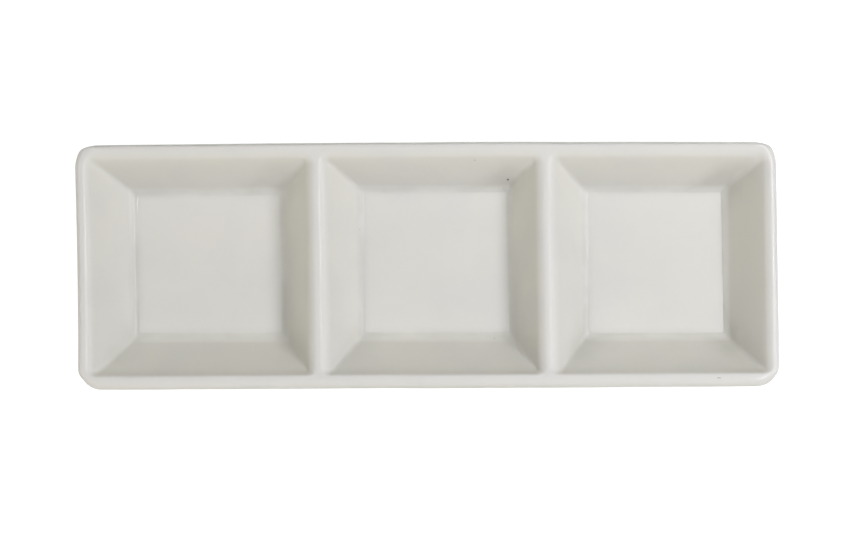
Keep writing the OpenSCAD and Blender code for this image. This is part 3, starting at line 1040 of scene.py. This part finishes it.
def clay_material(look):
    """Bare fired clay: matt, with darker grains and a fine rough grain where it was wiped."""
    material = bpy.data.materials.new("bare_stoneware")
    nodes = Nodes(material)
    place = nodes.place()
    cloud = nodes.noise(place, CLAY_WAVES, 4.0)
    tone = nodes.blend(nodes.ramp(cloud, *CLAY_RANGE), look.base, look.grain)
    grains = nodes.ramp(nodes.noise(place, GRAIN_WAVES), *GRAIN_RANGE)
    tone = nodes.blend(nodes.math("MULTIPLY", grains, GRAIN_SHARE), tone, look.grain)
    nodes.link(tone, nodes.shader.inputs["Base Color"])
    nodes.roughness(cloud, look.roughness, CLAY_SPREAD)
    nodes.bumps(nodes.noise(place, SPONGE_WAVES, 3.0), *CLAY_BUMP)
    return material


def fired_piece(name, surface, kiln, material, shows=False):
    """Welds and fires a surface and makes it a piece. Shown glaze is rippled as well."""
    points, faces = surface.welded()
    marks = points[:, PLACE:]
    piece = make_piece(name, kiln.fire(points[:, :PLACE]), faces, material, marks)
    if shows:
        ripple(piece.data, marks, kiln.form)
    return piece


def drawing(scene):
    """The rings of the tray's section, its foot and the kiln that fires them."""
    rings = Rings(Section(scene.tray_shape), scene.tray_fineness, scene.tray_form)
    return rings, Foot(scene.tray_shape), Kiln(rings)


class RELISH_OT_glaze_coat(bpy.types.Operator):
    """Build the coat of glaze over the wells, the rim and the outside"""

    bl_idname = "relish.glaze_coat"
    bl_label = "Glaze coat"

    def execute(self, context):
        scene = context.scene
        rings, foot, kiln = drawing(scene)
        surface = Surface()
        outer = add_skin(surface, rings, 0.0, foot_front_stations(foot, 0.0), False, False)
        surface.open_face = 0.0
        depth = scene.tray_shape.glaze_thickness
        inner = add_skin(surface, rings, depth, foot_front_stations(foot, depth), True, True)
        for (lip, _), (clay_lip, _) in zip(outer, inner):
            surface.band(lip, clay_lip, True)
        piece = fired_piece("glaze_over_tray", surface, kiln, glaze_material(scene.tray_glaze), True)
        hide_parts("glaze_coat")
        return {"FINISHED"}


class RELISH_OT_clay(bpy.types.Operator):
    """Build the clay casting, which shows at the bare foot rings"""

    bl_idname = "relish.clay"
    bl_label = "Clay casting"

    def execute(self, context):
        scene = context.scene
        rings, foot, kiln = drawing(scene)
        depth = scene.tray_shape.glaze_thickness
        stations = foot_front_stations(foot, depth) + foot_tread_stations(foot, depth)
        stations += foot_back_stations(foot, depth)
        surface = Surface()
        for lip, ring in add_skin(surface, rings, depth, stations, True, False):
            surface.cap(lip, ring, True)
        piece = fired_piece("clay_casting", surface, kiln, clay_material(scene.tray_clay))
        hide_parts("ceramic_body")
        return {"FINISHED"}


class RELISH_OT_recess_glazes(bpy.types.Operator):
    """Build the islands of glaze inside the foot rings"""

    bl_idname = "relish.recess_glazes"
    bl_label = "Recess glazes"

    def execute(self, context):
        scene = context.scene
        rings, foot, kiln = drawing(scene)
        depth = scene.tray_shape.glaze_thickness
        material = glaze_material(scene.tray_glaze)
        for well, name in enumerate(WELL_NAMES):
            outside = [rings.ring(well, station) for station in foot_back_stations(foot, 0.0)]
            clay = [rings.ring(well, station) for station in foot_back_stations(foot, depth)]
            surface = Surface()
            run = [outside[1], outside[0], clay[0], clay[1]]
            numbers = [surface.add(ring) for ring in run]
            for first, second in zip(numbers, numbers[1:]):
                surface.band(first, second, False)
            surface.cap(numbers[0], run[0], True)
            surface.cap(numbers[-1], run[-1], False)
            piece = fired_piece(f"glaze_in_foot_{name}", surface, kiln, material)
            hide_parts(f"recess_glaze_{name}")
        return {"FINISHED"}


WHITE = (1.0, 1.0, 1.0)
OPAQUE_WHITE = (*WHITE, 1.0)


def add_area(name, place, size, watts, tint):
    """A flat lamp, so wide and so long, that faces the tray."""
    data = bpy.data.lights.new(name, "AREA")
    data.shape = "RECTANGLE"
    data.size, data.size_y = size
    data.energy = watts
    data.color = tint
    lamp = bpy.data.objects.new(name, data)
    lamp.location = place
    lamp.rotation_euler = Vector((0.0, 0.0, 1.0)).rotation_difference(Vector(place)).to_euler()
    bpy.context.scene.collection.objects.link(lamp)
    return lamp


SENSOR = 36.0
TABLE_SIZE = 6.0


class RELISH_OT_stage(bpy.types.Operator):
    """Set the camera, the lamps, the even light and the white table"""

    bl_idname = "relish.stage"
    bl_label = "Stage"

    def execute(self, context):
        scene = context.scene
        look = scene.tray_stage
        rim = scene.tray_shape.tray_height
        data = bpy.data.cameras.new("camera")
        data.sensor_width = SENSOR
        data.lens = SENSOR * look.camera_height / look.view_width
        data.shift_x = (look.view_right - look.camera_right) / look.view_width
        data.shift_y = (look.view_back - look.camera_back) / look.view_width
        camera = bpy.data.objects.new("camera", data)
        camera.location = (look.camera_right, look.camera_back, rim + look.camera_height)
        camera.rotation_euler = (0.0, 0.0, look.roll)
        scene.collection.objects.link(camera)
        scene.camera = camera
        self.table(scene, look)
        self.world(scene, look)
        self.lamps(look)
        scene.view_settings.view_transform = "Standard"
        return {"FINISHED"}

    def lamps(self, look):
        """Wide lamps that light the tray, and strips whose mirrored lines run along its edges."""
        for name, place, size, watts, tint in (
            ("top", (0.0, 0.0, 1.35), (0.5, 0.5), look.top_watts, look.cool),
            ("key", (0.859, 0.0, 1.042), (0.4, 1.2), look.key_watts, look.cool),
            ("right_front", (0.88, -0.69, 0.75), (0.5, 0.5), look.right_front_watts, look.cool),
            ("right_back", (0.85, 0.71, 0.77), (0.5, 0.5), look.right_back_watts, look.warm),
            ("left", (-0.95, 0.0, 0.95), (0.5, 0.5), look.left_watts, look.soft),
            ("left_front", (-1.09, -0.76, 0.25), (0.8, 0.3), look.left_front_watts, look.soft),
            ("back_left", (-0.83, 0.83, 0.68), (0.5, 0.5), look.back_left_watts, look.warm),
            ("front", (0.62, -1.17, 0.28), (0.4, 0.4), look.front_watts, look.warm),
            ("low", (0.0, -1.35, 0.14), (0.5, 0.25), look.low_watts, look.warm),
        ):
            add_area(name, place, size, watts, tint).visible_glossy = False
        for name, place, size, watts in (
            ("near_strip", (0.80, 0.0, 3.0), (0.16, 2.4), look.near_strip_watts),
            ("far_strip", (2.2, 0.0, 1.8), (0.16, 2.4), look.far_strip_watts),
        ):
            add_area(name, place, size, watts, WHITE).visible_diffuse = False

    def table(self, scene, look):
        """A white table that keeps the tray's shadow."""
        half = TABLE_SIZE / 2.0
        mesh = bpy.data.meshes.new("table")
        corners = [(-half, -half, 0.0), (half, -half, 0.0), (half, half, 0.0), (-half, half, 0.0)]
        mesh.from_pydata(corners, [], [(0, 1, 2, 3)])
        material = bpy.data.materials.new("white_table")
        nodes = Nodes(material)
        seen = nodes.seen()
        nodes.link(nodes.blend(seen, look.table, look.table_seen), nodes.shader.inputs["Base Color"])
        nodes.shader.inputs["Emission Color"].default_value = OPAQUE_WHITE
        nodes.link(nodes.math("MULTIPLY", seen, look.table_glow), nodes.shader.inputs["Emission Strength"])
        nodes.shader.inputs["Roughness"].default_value = 1.0
        nodes.shader.inputs["Specular IOR Level"].default_value = 0.0
        mesh.materials.append(material)
        table = bpy.data.objects.new("table", mesh)
        scene.collection.objects.link(table)

    def world(self, scene, look):
        """Even light that is faint on the tray and white to the eye."""
        world = bpy.data.worlds.new("even_light")
        nodes = Nodes(world, "Background")
        nodes.shader.inputs["Color"].default_value = OPAQUE_WHITE
        nodes.link(nodes.ramp(nodes.seen(), 0.0, 1.0, look.world_level, 1.0), nodes.shader.inputs["Strength"])
        scene.world = world


class RELISH_PT_panel(bpy.types.Panel):
    """Buttons that build the tray"""

    bl_label = "Relish tray"
    bl_idname = "RELISH_PT_panel"
    bl_space_type = "VIEW_3D"
    bl_region_type = "UI"
    bl_category = "Relish tray"

    def draw(self, context):
        for operator in OPERATORS:
            self.layout.operator(operator.bl_idname)


GROUPS = {
    "tray_shape": TrayShape,
    "tray_fineness": TrayFineness,
    "tray_form": HandMadeForm,
    "tray_glaze": GlazeLook,
    "tray_clay": ClayLook,
    "tray_stage": StageLook,
}
OPERATORS = (RELISH_OT_glaze_coat, RELISH_OT_clay, RELISH_OT_recess_glazes, RELISH_OT_stage)
CLASSES = (*GROUPS.values(), *OPERATORS, RELISH_PT_panel)


def register():
    for cls in CLASSES:
        bpy.utils.register_class(cls)
    for name, group in GROUPS.items():
        setattr(bpy.types.Scene, name, bpy.props.PointerProperty(type=group))


def unregister():
    for name in GROUPS:
        delattr(bpy.types.Scene, name)
    for cls in reversed(CLASSES):
        bpy.utils.unregister_class(cls)


def main():
    """Builds the whole tray and its stage."""
    register()
    bpy.ops.relish.glaze_coat()
    bpy.ops.relish.clay()
    bpy.ops.relish.recess_glazes()
    bpy.ops.relish.stage()


if __name__ == "__main__":
    main()
